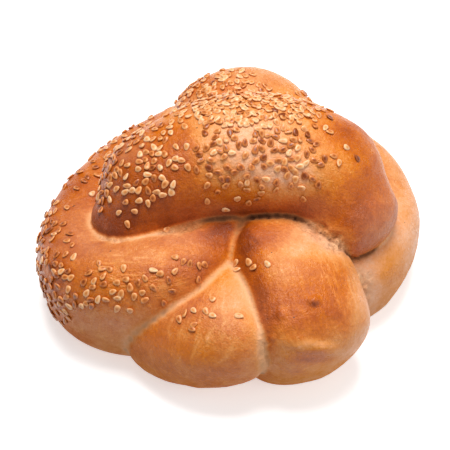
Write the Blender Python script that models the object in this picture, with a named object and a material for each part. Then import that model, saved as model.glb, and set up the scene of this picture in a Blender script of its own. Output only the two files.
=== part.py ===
"""Knotted sesame roll: one piece of baked dough, tied from a soft rope, with sesame seeds baked on.

The rope's turns are swept strands that lean on each other. One union fuses them, so that a crease
stays where two turns meet, and a flat cut makes the underside that lay on the baking tray.
+Z is up and -Y is the front. The origin is on the tray, under the middle of the roll.
"""

import math

import bpy
import numpy as np
from mathutils import Vector

MM = 0.001

# Each turn of the rope is a smooth strand through a few places, in millimetres:
# across, back, up, and half the strand's height there.
# "flat" is half the width over half the height, "blunt" the length of the end caps over half
# the height, and "lean" the angle by which the side on the left of the path's end is lower.
# "under_tray" is how far a strand on the tray reaches below it before the underside is cut: the
# further, the steeper its sides come down.
STRANDS = {
    "log_over_the_top": {
        "flat": 1.0,
        "blunt": 0.83,
        "lean": -2,
        "under_tray": None,
        "places": [
            (-29.2, 1.9, 30.3, 14.4),
            (-25.6, 7.4, 36.9, 17.1),
            (-13.1, 12.2, 43.2, 18.5),
            (4.6, 15.2, 45.8, 20),
            (22, 14.7, 43, 20.1),
            (33.7, 10.5, 38.4, 18.8),
            (38, 2.5, 32.2, 16.2),
        ],
    },
    "ring_on_the_left": {
        "flat": 0.92,
        "blunt": 1.0,
        "lean": 0,
        "under_tray": 4.0,
        "places": [
            (-14, 45, 22, 16),
            (-32, 36.5, 18.5, 14.3),
            (-43.5, 22.5, 17, 13.8),
            (-49, 5, 17, 14),
            (-43.3, -12.5, 18, 16),
            (-30, -18.5, 20.8, 17),
            (-15, -17, 24.5, 16),
            (0, -6, 27, 12),
        ],
    },
    "ring_on_the_right": {
        "flat": 1.0,
        "blunt": 1.0,
        "lean": 0,
        "under_tray": 4.0,
        "places": [
            (18, 47, 25, 16),
            (36, 41, 20, 14.5),
            (46.2, 30.5, 17, 14),
            (49, 13, 16, 14),
            (43, -2, 15.5, 13.5),
            (32, -11, 15, 12.5),
        ],
    },
    "lobe_front_right": {
        "flat": 1.16,
        "blunt": 0.92,
        "lean": -7,
        "under_tray": 11.5,
        "places": [
            (7.3, 1.6, 24.1, 11.4),
            (13.2, -9.4, 27.2, 14.1),
            (20.6, -20.7, 25, 16.6),
            (24.1, -32, 20.6, 17.3),
        ],
    },
    "lobe_front_left": {
        "flat": 1.77,
        "blunt": 1.1,
        "lean": 24,
        "under_tray": 4.0,
        "places": [
            (3.5, -7.8, 25.2, 8),
            (-3, -15.9, 20.8, 12.1),
            (-9.3, -31.3, 15.2, 15.6),
        ],
    },
    "lobe_at_the_back": {
        "flat": 1.0,
        "blunt": 1.0,
        "lean": 0,
        "under_tray": 4.0,
        "places": [
            (-10, 36, 25, 17),
            (-4, 43, 29.5, 19.7),
            (4.5, 46.5, 31, 20.3),
            (14, 43.5, 28.7, 20),
            (22, 36, 24, 17),
        ],
    },
    "dough_underneath": {
        "flat": 1.75,
        "blunt": 1.2,
        "lean": 0,
        "under_tray": 4.0,
        "places": [
            (-22, 9, 10, 19),
            (0, 9, 13, 21),
            (23, 12, 13, 19.5),
        ],
    },
}
MIDDLE = (0.3, 7.6)  # the middle of the knot's outline, across and back, in millimetres
SECTION_POWER = 2.3  # 2 is an ellipse, and more is squarer
CAP_POWER = 2.2
CAP_RINGS = 5
RING_SPACING = 3.6  # along a strand, in millimetres
SIDES = 28

SEED_LENGTH = 3.2  # millimetres, as are the five after it
SEED_WIDTH = 2.05
SEED_THICKNESS = 1.2
SEED_SUNK = 0.35
SEED_SPACING = 3.4  # the least distance between two seeds' middles
LOWEST_SEED = 4.0  # the least height of a seed's middle above the tray
SEED_COUNT = 180
SEED_TAPER = 0.25
SEED_SIDES = 6
SEED_RINGS = 2
CANDIDATES = 5000
RANDOM_START = 7

# Where the seeds lie, looked at from 45 degrees above: the middle of the patch across and up,
# its half sizes, how thickly it is sown, and 1 if looked at from the front, or -1 from behind.
# Across and up are in millimetres, counted from where the strands' places are counted from.
SEEDED = {
    "log_left": (-27, 38, 17, 17, 1.0, 1),
    "log_middle": (8, 44, 30, 17, 1.0, 1),
    "back_lobe": (-4, 62, 17, 9, 0.9, 1),
    "ring_left": (-57, 16, 9, 24, 0.9, 1),
    "ring_front": (-38, 0, 24, 9, 0.6, 1),
    "ring_inner": (-16, 6, 14, 6, 0.35, 1),
    "front_left": (-9, -6, 10, 6, 0.2, 1),
    "log_behind": (2, 19, 28, 9, 0.7, -1),
    "back_lobe_behind": (-3, -8, 14, 11, 0.5, -1),
    "ring_behind": (34, -9, 14, 12, 0.4, -1),
}
VIEW_TILT = math.radians(45)
TURNED_AWAY = -0.1  # seeds lie on skin whose normal has at least this cosine to the view

# A strand overlaps itself inside a tight bend, where the exact solver leaves edges open.
SOLVER = "MANIFOLD"


def clear_scene():
    for thing in list(bpy.data.objects):
        bpy.data.objects.remove(thing)


def smooth_path(places, samples=200):
    """A curve through the places: cubic pieces whose slopes are the mean slopes on both sides."""
    points = np.array(places, float)
    steps = np.linalg.norm(np.diff(points[:, :3], axis=0), axis=1)
    at = np.concatenate([[0.0], np.cumsum(np.sqrt(steps))])
    slopes = np.gradient(points, at, axis=0)
    where = np.linspace(0.0, at[-1], samples)
    piece = np.clip(np.searchsorted(at, where, side="right") - 1, 0, len(points) - 2)
    width = (at[piece + 1] - at[piece])[:, None]
    t = (where - at[piece])[:, None] / width
    return (
        (2 * t**3 - 3 * t**2 + 1) * points[piece]
        + (t**3 - 2 * t**2 + t) * width * slopes[piece]
        + (3 * t**2 - 2 * t**3) * points[piece + 1]
        + (t**3 - t**2) * width * slopes[piece + 1]
    )


def read_along(values, along, where):
    """Rows of the values, read off at distances along the path."""
    return np.stack([np.interp(where, along, column) for column in values.T], axis=1)


def strand_rings(strand):
    """Rings of points round a strand, in millimetres, as an array of rings by sides by 3.

    A ring is a rounded box, the superellipse |x/a|^p + |y/b|^p = 1. It stands across the chord
    from half a height behind it to half a height ahead, so that rings in a bend don't cross. The
    lower half of a strand on the tray reaches below the tray, and the end caps shrink the rings
    by the same kind of curve.
    """
    path = smooth_path(strand["places"])
    centres, heights = path[:, :3], path[:, 3]
    along = np.concatenate([[0.0], np.cumsum(np.linalg.norm(np.diff(centres, axis=0), axis=1))])
    caps = [strand["blunt"] * heights[0], strand["blunt"] * heights[-1]]
    count = round((along[-1] + sum(caps)) / RING_SPACING)
    quarter = np.linspace(0.0, math.pi / 2, CAP_RINGS + 2)[1:-1]
    places = np.concatenate(
        [
            -caps[0] * np.cos(quarter),
            np.linspace(0.0, along[-1], max(count - 2 * len(quarter), 3)),
            along[-1] + caps[1] * np.sin(quarter),
        ]
    )
    inside = np.clip(places, 0.0, along[-1])
    beyond = places - inside
    share = np.where(beyond < 0, -beyond / caps[0], beyond / caps[1])
    shrink = (1.0 - share**CAP_POWER) ** (1.0 / CAP_POWER)

    up = np.interp(inside, along, heights)
    directions = read_along(centres, along, inside + up) - read_along(centres, along, inside - up)
    directions /= np.linalg.norm(directions, axis=1)[:, None]
    middles = read_along(centres, along, inside) + directions * beyond[:, None]
    sideways = np.cross(directions, (0.0, 0.0, 1.0))
    sideways /= np.linalg.norm(sideways, axis=1)[:, None]
    upwards = np.cross(sideways, directions)
    lean = math.radians(strand["lean"])
    sideways, upwards = (
        math.cos(lean) * sideways - math.sin(lean) * upwards,
        math.cos(lean) * upwards + math.sin(lean) * sideways,
    )

    wide = up * strand["flat"]
    down = up if strand["under_tray"] is None else np.maximum(up, middles[:, 2] + strand["under_tray"])
    angles = np.linspace(0.0, 2 * math.pi, SIDES, endpoint=False)
    cosines, sines = np.cos(angles), np.sin(angles)
    reach = (np.abs(cosines) ** SECTION_POWER + np.abs(sines) ** SECTION_POWER) ** (-1 / SECTION_POWER)
    across = shrink[:, None] * wide[:, None] * reach * cosines
    tall = shrink[:, None] * np.where(sines > 0, up[:, None], down[:, None]) * reach * sines
    rings = middles[:, None] + across[..., None] * sideways[:, None] + tall[..., None] * upwards[:, None]
    tip_places = np.array([[-caps[0]], [caps[1]]])
    tips = middles[[0, -1]] + directions[[0, -1]] * (tip_places - beyond[[0, -1], None])
    return rings, tips


def closed_tube(name, rings, tips, material):
    """A mesh object: quads between the rings, and fans to the tips at both ends."""
    count, sides = rings.shape[:2]
    ring, side = np.meshgrid(np.arange(count - 1), np.arange(sides), indexing="ij")
    beside = (side + 1) % sides
    quads = np.stack(
        [
            ring * sides + side,
            (ring + 1) * sides + side,
            (ring + 1) * sides + beside,
            ring * sides + beside,
        ],
        axis=-1,
    ).reshape(-1, 4)
    first, last = count * sides, count * sides + 1
    last_ring = (count - 1) * sides
    fans = [(first, s, (s + 1) % sides) for s in range(sides)]
    fans += [(last, last_ring + (s + 1) % sides, last_ring + s) for s in range(sides)]
    mesh = bpy.data.meshes.new(name)
    points = np.concatenate([rings.reshape(-1, 3), tips]) * MM
    mesh.from_pydata(points.tolist(), [], quads.tolist() + fans)
    mesh.materials.append(material)
    thing = bpy.data.objects.new(name, mesh)
    bpy.context.scene.collection.objects.link(thing)
    return thing


def bake_modifiers(thing):
    """Gives the object the mesh that its modifiers make, and removes them."""
    graph = bpy.context.evaluated_depsgraph_get()
    mesh = bpy.data.meshes.new_from_object(thing.evaluated_get(graph))
    thing.modifiers.clear()
    thing.data = mesh


def fuse(body, pieces):
    """Joins the pieces to the body by one Boolean union, and removes them."""
    group = bpy.data.collections.new("pieces to join")
    bpy.context.scene.collection.children.link(group)
    for piece in pieces:
        bpy.context.scene.collection.objects.unlink(piece)
        group.objects.link(piece)
    union = body.modifiers.new("join", "BOOLEAN")
    union.operation = "UNION"
    union.operand_type = "COLLECTION"
    union.collection = group
    union.solver = SOLVER
    bake_modifiers(body)
    for piece in pieces:
        bpy.data.objects.remove(piece)
    bpy.data.collections.remove(group)


def cut_on_tray(body):
    """Cuts away everything under the tray's surface, which leaves the flat underside."""
    reach, depth = 0.2, 0.05
    corners = [(x, y, z) for x in (-reach, reach) for y in (-reach, reach) for z in (-depth, 0.0)]
    faces = [(0, 1, 3, 2), (4, 6, 7, 5), (0, 4, 5, 1), (2, 3, 7, 6), (0, 2, 6, 4), (1, 5, 7, 3)]
    mesh = bpy.data.meshes.new("tray")
    mesh.from_pydata(corners, [], faces)
    tray = bpy.data.objects.new("tray", mesh)
    bpy.context.scene.collection.objects.link(tray)
    cut = body.modifiers.new("flat underside", "BOOLEAN")
    cut.operation = "DIFFERENCE"
    cut.object = tray
    cut.solver = SOLVER
    bake_modifiers(body)
    bpy.data.objects.remove(tray)


def random_skin_points(mesh, random, count):
    """Points spread evenly over the mesh's faces by area, with the faces' normals."""
    mesh.calc_loop_triangles()
    corners = np.array([t.vertices for t in mesh.loop_triangles])
    places = np.array([v.co for v in mesh.vertices])
    a, b, c = (places[corners[:, k]] for k in range(3))
    normals = np.cross(b - a, c - a)
    areas = np.linalg.norm(normals, axis=1)
    face = random.choice(len(areas), size=count, p=areas / areas.sum())
    u, v = np.sqrt(random.random(count)), random.random(count)
    points = (1 - u)[:, None] * a[face] + (u * (1 - v))[:, None] * b[face] + (u * v)[:, None] * c[face]
    return points, normals[face] / areas[face][:, None]


def sowing(points, normals):
    """How thickly the seeds lie at each point: the thickest of the patches, soft-edged ellipses."""
    right, back, height = (points / MM + [*MIDDLE, 0.0]).T
    thickest = np.zeros(len(points))
    for middle_across, middle_up, half_across, half_up, thickness, side in SEEDED.values():
        view = np.array([0.0, -side * math.cos(VIEW_TILT), math.sin(VIEW_TILT)])
        across = side * right
        up = side * back * math.sin(VIEW_TILT) + height * math.cos(VIEW_TILT)
        away = ((across - middle_across) / half_across) ** 2 + ((up - middle_up) / half_up) ** 2
        here = thickness * np.clip(2.0 - 2.0 * away, 0.0, 1.0)
        thickest = np.maximum(thickest, np.where(normals @ view > TURNED_AWAY, here, 0.0))
    return np.where(height > LOWEST_SEED, thickest, 0.0)


def seed_places(body):
    """Picks spots for the seeds one after another, each clear of the ones before it."""
    random = np.random.default_rng(RANDOM_START)
    points, normals = random_skin_points(body.data, random, CANDIDATES)
    wanted = random.random(CANDIDATES) < sowing(points, normals)
    chosen, facing = [], []
    for point, normal in zip(points[wanted], normals[wanted]):
        if chosen and np.linalg.norm(np.array(chosen) - point, axis=1).min() < SEED_SPACING * MM:
            continue
        chosen.append(point)
        facing.append(normal)
        if len(chosen) == SEED_COUNT:
            break
    turns = random.uniform(0.0, 2 * math.pi, len(chosen))
    return zip(chosen, facing, turns)


def seed_on_skin(name, point, normal, turn, material):
    """A flat drop shape that lies on the skin, sunk in a little, and turned about the normal."""
    share = np.linspace(0.0, math.pi, SEED_RINGS + 2)[1:-1]
    angles = np.linspace(0.0, 2 * math.pi, SEED_SIDES, endpoint=False)
    taper = 1.0 + SEED_TAPER * np.cos(share)
    along = -np.cos(share)[:, None] * SEED_LENGTH / 2 + 0.0 * angles
    across = (np.sin(share) * taper)[:, None] * np.cos(angles) * SEED_WIDTH / 2
    above = (np.sin(share) * taper)[:, None] * np.sin(angles) * SEED_THICKNESS / 2
    up = Vector(normal)
    first = up.orthogonal().normalized()
    second = up.cross(first)
    ahead = np.array(first * math.cos(turn) + second * math.sin(turn))
    beside = np.cross(ahead, normal)
    lift = SEED_THICKNESS / 2 - SEED_SUNK
    middle = np.array(point) / MM + normal * lift
    rings = middle + along[..., None] * ahead + across[..., None] * beside + above[..., None] * normal
    tips = np.array([middle - ahead * SEED_LENGTH / 2, middle + ahead * SEED_LENGTH / 2])
    return closed_tube(name, rings, tips, material)


def dough_material():
    crust = bpy.data.materials.new("baked_crust")
    crust.use_nodes = True
    shader = crust.node_tree.nodes["Principled BSDF"]
    shader.inputs["Base Color"].default_value = (0.55, 0.25, 0.09, 1.0)
    shader.inputs["Roughness"].default_value = 0.45
    shader.inputs["Metallic"].default_value = 0.0
    return crust


def make_roll():
    crust = dough_material()
    turns = []
    for name, strand in STRANDS.items():
        rings, tips = strand_rings(strand)
        shift = np.array([*MIDDLE, 0.0])
        turns.append(closed_tube(name, rings - shift, tips - shift, crust))
    roll = turns[0]
    fuse(roll, turns[1:])
    cut_on_tray(roll)
    seeds = [
        seed_on_skin(f"seed_{number}", *place, crust) for number, place in enumerate(seed_places(roll))
    ]
    fuse(roll, seeds)
    roll.name = roll.data.name = "knotted_roll"
    roll.data.shade_smooth()
    roll.data.set_sharp_from_angle(angle=math.radians(40))
    return roll


clear_scene()
make_roll()
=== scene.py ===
# %% [markdown]
# A knotted sesame roll. One soft rope of dough is tied in a knot, brushed with egg, pressed into
# sesame seeds on one side and baked on a tray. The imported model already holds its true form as
# one faceted solid. This lesson dresses that solid: it makes a fine skin with creases, torn crumb
# and small wrinkles, browns it as an oven does, and lays several hundred single seeds on it.

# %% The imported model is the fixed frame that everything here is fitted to
import itertools
import math

import bmesh
import bpy
import numpy as np
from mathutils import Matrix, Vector


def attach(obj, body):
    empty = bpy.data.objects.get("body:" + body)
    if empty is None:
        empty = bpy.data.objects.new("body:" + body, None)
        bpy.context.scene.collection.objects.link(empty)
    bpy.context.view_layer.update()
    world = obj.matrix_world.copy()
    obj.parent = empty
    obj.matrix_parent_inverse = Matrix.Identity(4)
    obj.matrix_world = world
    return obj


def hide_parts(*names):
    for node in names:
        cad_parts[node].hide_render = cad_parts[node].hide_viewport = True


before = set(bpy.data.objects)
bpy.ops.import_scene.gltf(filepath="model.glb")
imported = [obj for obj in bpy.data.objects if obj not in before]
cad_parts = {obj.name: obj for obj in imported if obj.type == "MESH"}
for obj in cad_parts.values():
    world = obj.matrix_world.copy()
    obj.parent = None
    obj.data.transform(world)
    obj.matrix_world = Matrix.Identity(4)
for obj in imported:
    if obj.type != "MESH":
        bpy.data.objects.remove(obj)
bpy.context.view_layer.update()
NODE = "knotted_roll"
MM = 0.001


# %% [markdown]
# The real roll is a rope that passes over and under itself, so its surface is a few soft turns
# that lean on each other. Each turn could be sculpted by hand, but a tube through a few places
# says the same with less: where the middle of the rope is, and how thick it is there.
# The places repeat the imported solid's own, so the fine skin lies where that solid lies. Each
# turn also says how flat its section is, as width over height, how long its round ends are for
# their height, how many degrees it leans, and how far below the tray it reaches, if it lies there.

# %% Where the turns of the rope run: across, back, up and half the height there, in millimetres
STRANDS = {
    "log": {
        "flat": 1.0, "blunt": 0.83, "lean": -2, "under_tray": None,
        "places": [
            (-29.2, 1.9, 30.3, 14.4), (-25.6, 7.4, 36.9, 17.1), (-13.1, 12.2, 43.2, 18.5),
            (4.6, 15.2, 45.8, 20), (22, 14.7, 43, 20.1), (33.7, 10.5, 38.4, 18.8),
            (38, 2.5, 32.2, 16.2),
        ],
    },
    "left": {
        "flat": 0.92, "blunt": 1.0, "lean": 0, "under_tray": 4.0,
        "places": [
            (-14, 45, 22, 16), (-32, 36.5, 18.5, 14.3), (-43.5, 22.5, 17, 13.8), (-49, 5, 17, 14),
            (-43.3, -12.5, 18, 16), (-30, -18.5, 20.8, 17), (-15, -17, 24.5, 16), (0, -6, 27, 12),
        ],
    },
    "right": {
        "flat": 1.0, "blunt": 1.0, "lean": 0, "under_tray": 4.0,
        "places": [
            (18, 47, 25, 16), (36, 41, 20, 14.5), (46.2, 30.5, 17, 14), (49, 13, 16, 14),
            (43, -2, 15.5, 13.5), (32, -11, 15, 12.5),
        ],
    },
    "front_right": {
        "flat": 1.16, "blunt": 0.92, "lean": -7, "under_tray": 11.5,
        "places": [
            (7.3, 1.6, 24.1, 11.4), (13.2, -9.4, 27.2, 14.1), (20.6, -20.7, 25, 16.6),
            (24.1, -32, 20.6, 17.3),
        ],
    },
    "front_left": {
        "flat": 1.77, "blunt": 1.1, "lean": 24, "under_tray": 4.0,
        "places": [
            (3.5, -7.8, 25.2, 8), (-3, -15.9, 20.8, 12.1), (-9.3, -31.3, 15.2, 15.6),
        ],
    },
    "back": {
        "flat": 1.0, "blunt": 1.0, "lean": 0, "under_tray": 4.0,
        "places": [
            (-10, 36, 25, 17), (-4, 43, 29.5, 19.7), (4.5, 46.5, 31, 20.3), (14, 43.5, 28.7, 20),
            (22, 36, 24, 17),
        ],
    },
    "core": {
        "flat": 1.75, "blunt": 1.2, "lean": 0, "under_tray": 4.0,
        "places": [
            (-22, 9, 10, 19), (0, 9, 13, 21), (23, 12, 13, 19.5),
        ],
    },
}
MIDDLE = np.array([0.3, 7.6, 0.0])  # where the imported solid's origin is, counted in these places
SECTION_POWER = 2.3  # 2 is an ellipse, and more is squarer
CAP_POWER = 2.2  # the same for the round ends
print(len(STRANDS), "turns of dough")

# %% [markdown]
# A rope of dough has no straight runs or sharp corners. A cubic curve through the places, with
# the mean slope at each, bends as the rope does. It carries a rounded section that grows and
# shrinks with the rope, and rounds off at both ends. A Blender curve with a bevel would make a
# tube too, but with one section throughout, and here the lower half reaches down to the tray.

# %% A smooth path, and the frames of the rings that stand along it
RING_SPACING = 1.2  # mm
CAP_RINGS = 12
SIDES = 96  # points in a ring


def smooth_path(places, samples=400):
    """Cubic pieces through the places: h00 p0 + h10 m0 + h01 p1 + h11 m1, with mean slopes m."""
    points = np.array(places, float)
    steps = np.linalg.norm(np.diff(points[:, :3], axis=0), axis=1)
    at = np.concatenate([[0.0], np.cumsum(np.sqrt(steps))])
    slopes = np.gradient(points, at, axis=0)
    where = np.linspace(0.0, at[-1], samples)
    piece = np.clip(np.searchsorted(at, where, side="right") - 1, 0, len(points) - 2)
    width = (at[piece + 1] - at[piece])[:, None]
    t = (where - at[piece])[:, None] / width
    return (
        (2 * t**3 - 3 * t**2 + 1) * points[piece]
        + (t**3 - 2 * t**2 + t) * width * slopes[piece]
        + (3 * t**2 - 2 * t**3) * points[piece + 1]
        + (t**3 - t**2) * width * slopes[piece + 1]
    )


def read_along(values, along, where):
    """Rows of the values, read off at distances along the path."""
    return np.stack([np.interp(where, along, column) for column in values.T], axis=1)


def strand_frames(strand):
    """The rings' middles, axes and half sizes, in millimetres.

    A ring stands across the chord from half a height behind it to half a height ahead. Over the
    end caps the rings shrink by (1 - share^p)^(1/p), which closes the strand in a round end.
    """
    path = smooth_path(strand["places"])
    centres, heights = path[:, :3], path[:, 3]
    along = np.concatenate([[0.0], np.cumsum(np.linalg.norm(np.diff(centres, axis=0), axis=1))])
    caps = [strand["blunt"] * heights[0], strand["blunt"] * heights[-1]]
    quarter = np.linspace(0.0, math.pi / 2, CAP_RINGS + 2)[1:-1]
    places = np.concatenate(
        [
            -caps[0] * np.cos(quarter),
            np.linspace(0.0, along[-1], round(along[-1] / RING_SPACING)),
            along[-1] + caps[1] * np.sin(quarter),
        ]
    )
    inside = np.clip(places, 0.0, along[-1])
    beyond = places - inside
    share = np.where(beyond < 0, -beyond / caps[0], beyond / caps[1])
    shrink = (1.0 - share**CAP_POWER) ** (1.0 / CAP_POWER)
    up = np.interp(inside, along, heights)
    ahead = read_along(centres, along, inside + up) - read_along(centres, along, inside - up)
    ahead /= np.linalg.norm(ahead, axis=1)[:, None]
    middles = read_along(centres, along, inside) + ahead * beyond[:, None]
    side = np.cross(ahead, (0.0, 0.0, 1.0))
    side /= np.linalg.norm(side, axis=1)[:, None]
    top = np.cross(side, ahead)
    lean = math.radians(strand["lean"])
    side, top = math.cos(lean) * side - math.sin(lean) * top, math.cos(lean) * top + math.sin(lean) * side
    down = up if strand["under_tray"] is None else np.maximum(up, middles[:, 2] + strand["under_tray"])
    ends = np.array([[-caps[0]], [caps[1]]])
    return {
        "middle": middles,
        "ahead": ahead,
        "side": side,
        "top": top,
        "wide": shrink * up * strand["flat"],
        "up": shrink * up,
        "down": shrink * down,
        "place": places,
        "tips": middles[[0, -1]] + ahead[[0, -1]] * (ends - beyond[[0, -1], None]),
    }


frames = {name: strand_frames(strand) for name, strand in STRANDS.items()}
for name, rings in frames.items():
    length = rings["place"][-1] - rings["place"][0]
    print(f"{name}: {length:.0f} mm of rope in {len(rings['place'])} rings")

# %% [markdown]
# The section is a superellipse, a soft box, as dough takes between its neighbours. The tubes
# overlap where the dough has grown together, so a union keeps only the outside, and the
# crease stays where two turns meet. One flat cut makes the underside that lay on the tray. A
# voxel remesh then gives even faces of under a millimetre, fine enough for torn crumb. It leaves
# a few specks of air deep inside, which are deleted. The flat underside needs no fine faces, so
# there they are merged into one.

# %% The fine skin: tubes, their union, the flat cut and an even mesh
VOXEL = 0.65 * MM
FLAT = 0.1 * MM  # a point below this lies on the tray
TRAY_REACH, TRAY_DEPTH = 0.2, 0.05  # half the side and the depth of the block that cuts, in metres


def new_object(name, points, faces):
    """An object at the origin whose mesh holds the points, given in metres."""
    mesh = bpy.data.meshes.new(name)
    mesh.from_pydata(points.tolist(), [], faces)
    thing = bpy.data.objects.new(name, mesh)
    bpy.context.scene.collection.objects.link(thing)
    return thing


def grid_faces(rows, sides):
    """Quads between rows that are closed rings, and fans to two tips, which are the last two points."""
    row, side = np.meshgrid(np.arange(rows - 1), np.arange(sides), indexing="ij")
    beside = (side + 1) % sides
    here, ahead = row * sides, (row + 1) * sides
    corners = [here + side, ahead + side, ahead + beside, here + beside]
    quads = np.stack(corners, axis=-1).reshape(-1, 4)
    around = np.arange(sides)
    following = (around + 1) % sides
    last = (rows - 1) * sides
    tip = np.full(sides, rows * sides)
    first_fan = np.stack([tip, around, following], axis=1)
    last_fan = np.stack([tip + 1, last + following, last + around], axis=1)
    return quads.tolist() + first_fan.tolist() + last_fan.tolist()


def tube(name, rings):
    """Rings of points where |x/wide|^p + |y/tall|^p = 1, joined by quads and closed at both tips."""
    angles = np.linspace(0.0, 2 * math.pi, SIDES, endpoint=False)
    cosines, sines = np.cos(angles), np.sin(angles)
    reach = (np.abs(cosines) ** SECTION_POWER + np.abs(sines) ** SECTION_POWER) ** (-1 / SECTION_POWER)
    across = rings["wide"][:, None] * reach * cosines
    tall = np.where(sines > 0, rings["up"][:, None], rings["down"][:, None]) * reach * sines
    points = (
        rings["middle"][:, None]
        + across[..., None] * rings["side"][:, None]
        + tall[..., None] * rings["top"][:, None]
    )
    points = np.concatenate([points.reshape(-1, 3), rings["tips"]]) - MIDDLE
    return new_object(name, points * MM, grid_faces(len(across), SIDES))


def bake_modifiers(thing):
    """Gives the object the mesh that its modifiers make, and removes them."""
    graph = bpy.context.evaluated_depsgraph_get()
    mesh = bpy.data.meshes.new_from_object(thing.evaluated_get(graph))
    thing.modifiers.clear()
    thing.data = mesh


def join_and_cut(pieces):
    """One closed skin: the union of the pieces, without what lies below the tray's surface."""
    skin = pieces[0]
    group = bpy.data.collections.new("turns")
    for piece in pieces[1:]:
        group.objects.link(piece)
    union = skin.modifiers.new("union", "BOOLEAN")
    union.operation = "UNION"
    union.operand_type = "COLLECTION"
    union.collection = group
    union.solver = "MANIFOLD"
    sides = (-TRAY_REACH, TRAY_REACH)
    corners = np.array(list(itertools.product(sides, sides, (-TRAY_DEPTH, 0.0))))
    walls = [(0, 1, 3, 2), (4, 6, 7, 5), (0, 4, 5, 1), (2, 3, 7, 6), (0, 2, 6, 4), (1, 5, 7, 3)]
    tray = new_object("tray", corners, walls)
    cut = skin.modifiers.new("flat underside", "BOOLEAN")
    cut.operation = "DIFFERENCE"
    cut.object = tray
    cut.solver = "MANIFOLD"
    even = skin.modifiers.new("even faces", "REMESH")
    even.mode = "VOXEL"
    even.voxel_size = VOXEL
    bake_modifiers(skin)
    for piece in [*pieces[1:], tray]:
        bpy.data.objects.remove(piece)
    bpy.data.collections.remove(group)
    return skin


def keep_outside(work):
    """Deletes what no edges join to the highest point: the remesh leaves specks of air inside."""
    joined, waiting = set(), [max(work.verts, key=lambda point: point.co.z)]
    while waiting:
        point = waiting.pop()
        if point not in joined:
            joined.add(point)
            waiting.extend(edge.other_vert(point) for edge in point.link_edges)
    inside = [point for point in work.verts if point not in joined]
    bmesh.ops.delete(work, geom=inside, context="VERTS")
    print(len(inside), "points lay inside the dough")


def merge_underside(mesh):
    """Joins the faces whose corners all lie on the tray into one."""
    work = bmesh.new()
    work.from_mesh(mesh)
    keep_outside(work)
    flat = [face for face in work.faces if all(corner.co.z < FLAT for corner in face.verts)]
    bmesh.ops.dissolve_faces(work, faces=flat, use_verts=False)
    work.to_mesh(mesh)
    work.free()
    print(len(flat), "flat faces are now one")


skin = join_and_cut([tube(name, rings) for name, rings in frames.items()])
skin.name = skin.data.name = "crust"
merge_underside(skin.data)
print("the skin has", len(skin.data.vertices), "points and", len(skin.data.polygons), "faces")

# %% [markdown]
# From here the skin is worked on as arrays: its points and the edges between them are read out
# once, the points are changed as whole columns of numbers, and they are put back whenever new
# normals are wanted. They are in millimetres, in the strands' own coordinates.

# %% The skin as arrays
SOFTEN = 4  # rounds of smoothing, which take out the remesh's small steps


def read_mesh(mesh):
    """The points in the strands' millimetres, and the two ends of every edge."""
    points = np.empty(3 * len(mesh.vertices), np.float32)
    mesh.vertices.foreach_get("co", points)
    edges = np.empty(2 * len(mesh.edges), np.int32)
    mesh.edges.foreach_get("vertices", edges)
    return points.reshape(-1, 3).astype(float) / MM + MIDDLE, edges.reshape(-1, 2)


def write_points(mesh, points):
    """Puts the points back, less the middle and times a millimetre."""
    mesh.vertices.foreach_set("co", ((points - MIDDLE) * MM).astype(np.float32).ravel())
    mesh.update()


def read_normals(mesh):
    """The unit normal at each point: the mean of its faces' normals."""
    normals = np.empty(3 * len(mesh.vertices), np.float32)
    mesh.vertices.foreach_get("normal", normals)
    return normals.reshape(-1, 3).astype(float)


def smoothed(points, edges, weight, rounds):
    """Each round moves a point by its weight towards the mean of its neighbours."""
    here = np.concatenate([edges[:, 0], edges[:, 1]])
    there = np.concatenate([edges[:, 1], edges[:, 0]])
    count = np.bincount(here, minlength=len(points))
    for _ in range(rounds):
        sums = [np.bincount(here, points[there, axis], len(points)) for axis in range(points.shape[1])]
        points = points + np.reshape(weight, (-1, 1)) * (np.stack(sums, axis=1) / count[:, None] - points)
    return points


points, edges = read_mesh(skin.data)
points = smoothed(points, edges, 0.5, SOFTEN)
lengths = np.linalg.norm(points[edges[:, 0]] - points[edges[:, 1]], axis=1)
print("mean edge", round(float(lengths.mean()), 2), "mm")

# %% [markdown]
# Nearly all that is seen on a crust depends on where it is on its own turn, and on how near the
# next turn is: the crease is pale because the dough there was shut away from the heat. So each
# point is measured against every strand: how far outside the strand it is, and how far along
# and around it. Blender can find the nearest point of a mesh, but not how far along a rope it
# lies, so the rings are compared one by one. The nearest strand is the point's own turn, and the
# next nearest is its neighbour. The core lies under all of them and is never the neighbour.

# %% How near each point is to every strand


def measure(points, rings):
    """Distance outside the strand, and the place along and the angle around it, for every point.

    Against one ring, a point's distance is the hypotenuse of how far it is off the ring's plane
    and how far it is outside the ring's superellipse. The nearest ring counts.
    """
    nearest = np.full(len(points), np.inf)
    along = np.zeros(len(points))
    angle = np.zeros(len(points))
    columns = ("middle", "ahead", "side", "top", "wide", "up", "down", "place")
    for middle, ahead, side, top, wide, up, down, place in zip(*(rings[c] for c in columns)):
        offset = points - middle
        off_plane = offset @ ahead
        x = offset @ side
        y = offset @ top
        tall = np.where(y > 0, up, down)
        size = (np.abs(x / wide) ** SECTION_POWER + np.abs(y / tall) ** SECTION_POWER) ** (1 / SECTION_POWER)
        outside = np.hypot(x, y) * np.clip(1.0 - 1.0 / np.maximum(size, 0.01), 0.0, None)
        far = np.hypot(off_plane, outside)
        nearer = far < nearest
        nearest = np.where(nearer, far, nearest)
        along = np.where(nearer, place + off_plane, along)
        angle = np.where(nearer, np.arctan2(y, x), angle)
    return nearest, along, angle


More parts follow.
